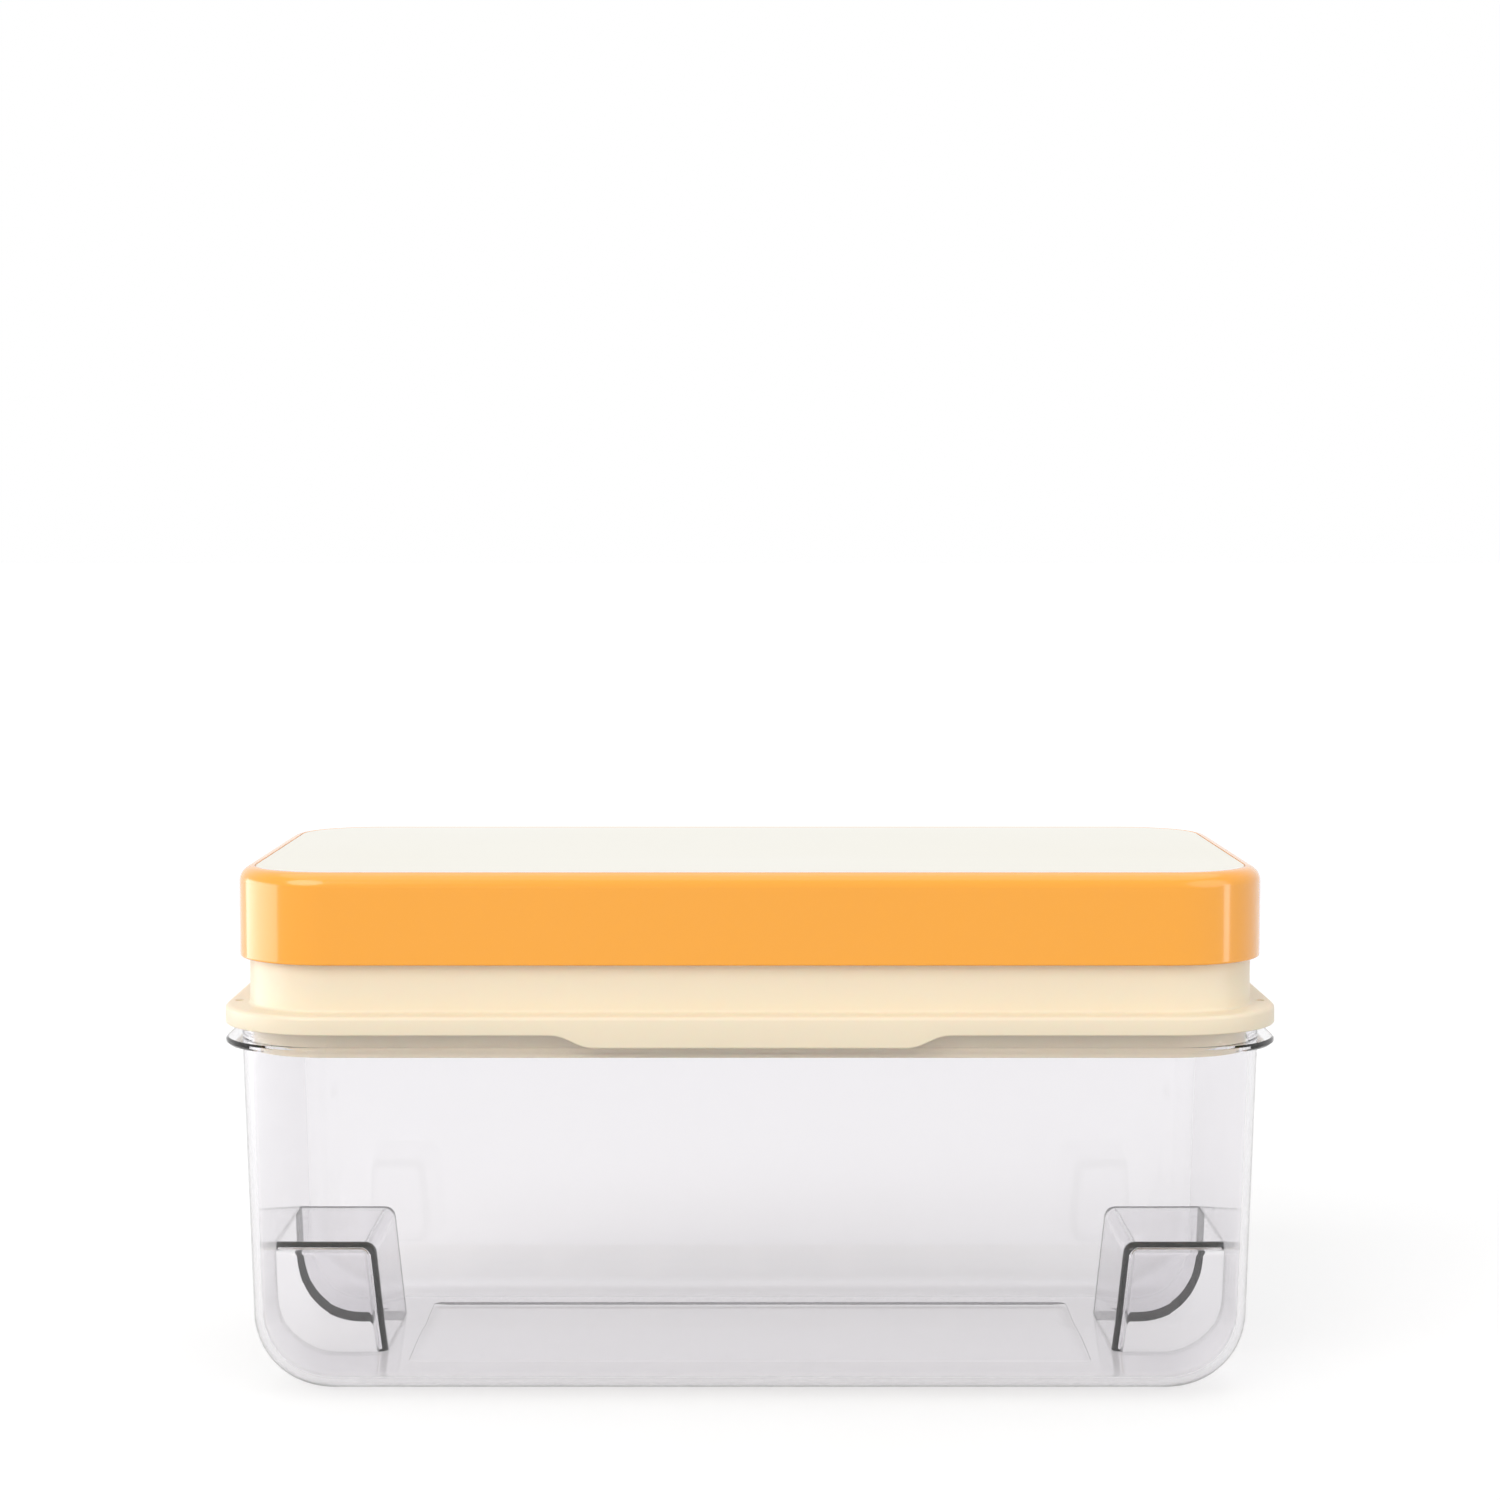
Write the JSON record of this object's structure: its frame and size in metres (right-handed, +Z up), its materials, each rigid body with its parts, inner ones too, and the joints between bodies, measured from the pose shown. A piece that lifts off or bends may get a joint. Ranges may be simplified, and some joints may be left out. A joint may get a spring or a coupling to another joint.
{
  "type": "ice cube tray",
  "caption": "Press-type ice cube tray: a clear storage bin, a walled tray of soft-backed cells, a plate of pins and a lid that is pressed to drop the cubes.",
  "frame": {"origin": "centre of the bin's underside, where it stands on the table", "axes": "+Z up, +X along the length, +Y from the front to the back"},
  "size_m": [0.256, 0.136, 0.1284],
  "materials": {
    "clear_plastic": "clear, polished",
    "cream_plastic": "satin",
    "cream_silicone": "smooth, soft",
    "orange_plastic": "gloss",
    "white_plastic": "gloss"
  },
  "bodies": {
    "bin": {"storage_bin": "clear_plastic"},
    "tray": {"tray_frame": "cream_plastic", "cell_grid": "cream_plastic"},
    "cups": {"cell_cup_a1": "cream_silicone", "cell_cup_b1": "cream_silicone", "cell_cup_c1": "cream_silicone", "cell_cup_d1": "cream_silicone", "cell_cup_e1": "cream_silicone", "cell_cup_f1": "cream_silicone", "cell_cup_g1": "cream_silicone", "cell_cup_h1": "cream_silicone", "cell_cup_a2": "cream_silicone", "cell_cup_b2": "cream_silicone", "cell_cup_c2": "cream_silicone", "cell_cup_d2": "cream_silicone", "cell_cup_e2": "cream_silicone", "cell_cup_f2": "cream_silicone", "cell_cup_g2": "cream_silicone", "cell_cup_h2": "cream_silicone", "cell_cup_a3": "cream_silicone", "cell_cup_b3": "cream_silicone", "cell_cup_c3": "cream_silicone", "cell_cup_d3": "cream_silicone", "cell_cup_e3": "cream_silicone", "cell_cup_f3": "cream_silicone", "cell_cup_g3": "cream_silicone", "cell_cup_h3": "cream_silicone", "cell_cup_a4": "cream_silicone", "cell_cup_b4": "cream_silicone", "cell_cup_c4": "cream_silicone", "cell_cup_d4": "cream_silicone", "cell_cup_e4": "cream_silicone", "cell_cup_f4": "cream_silicone", "cell_cup_g4": "cream_silicone", "cell_cup_h4": "cream_silicone"},
    "plate": {"push_plate": "cream_plastic"},
    "lid": {"press_lid": "orange_plastic", "lid_top_panel": "white_plastic"}
  },
  "joints": [
    {"name": "tray_lift", "type": "slide", "parent": "bin", "child": "tray", "axis": [0, 0, 1], "range_m": [0, 0.03]},
    {"name": "cup_press", "type": "slide", "parent": "tray", "child": "cups", "axis": [0, 0, 1], "range_m": [-0.0098, 0], "stiffness_N_per_m": 3000, "springref_m": 0.002, "deforming": ["cell_cup_a1", "cell_cup_b1", "cell_cup_c1", "cell_cup_d1", "cell_cup_e1", "cell_cup_f1", "cell_cup_g1", "cell_cup_h1", "cell_cup_a2", "cell_cup_b2", "cell_cup_c2", "cell_cup_d2", "cell_cup_e2", "cell_cup_f2", "cell_cup_g2", "cell_cup_h2", "cell_cup_a3", "cell_cup_b3", "cell_cup_c3", "cell_cup_d3", "cell_cup_e3", "cell_cup_f3", "cell_cup_g3", "cell_cup_h3", "cell_cup_a4", "cell_cup_b4", "cell_cup_c4", "cell_cup_d4", "cell_cup_e4", "cell_cup_f4", "cell_cup_g4", "cell_cup_h4"]},
    {"name": "plate_lift", "type": "slide", "parent": "cups", "child": "plate", "axis": [0, 0, 1], "range_m": [0, 0.034]},
    {"name": "lid_lift", "type": "slide", "parent": "plate", "child": "lid", "axis": [0, 0, 1], "range_m": [0, 0.044]}
  ]
}
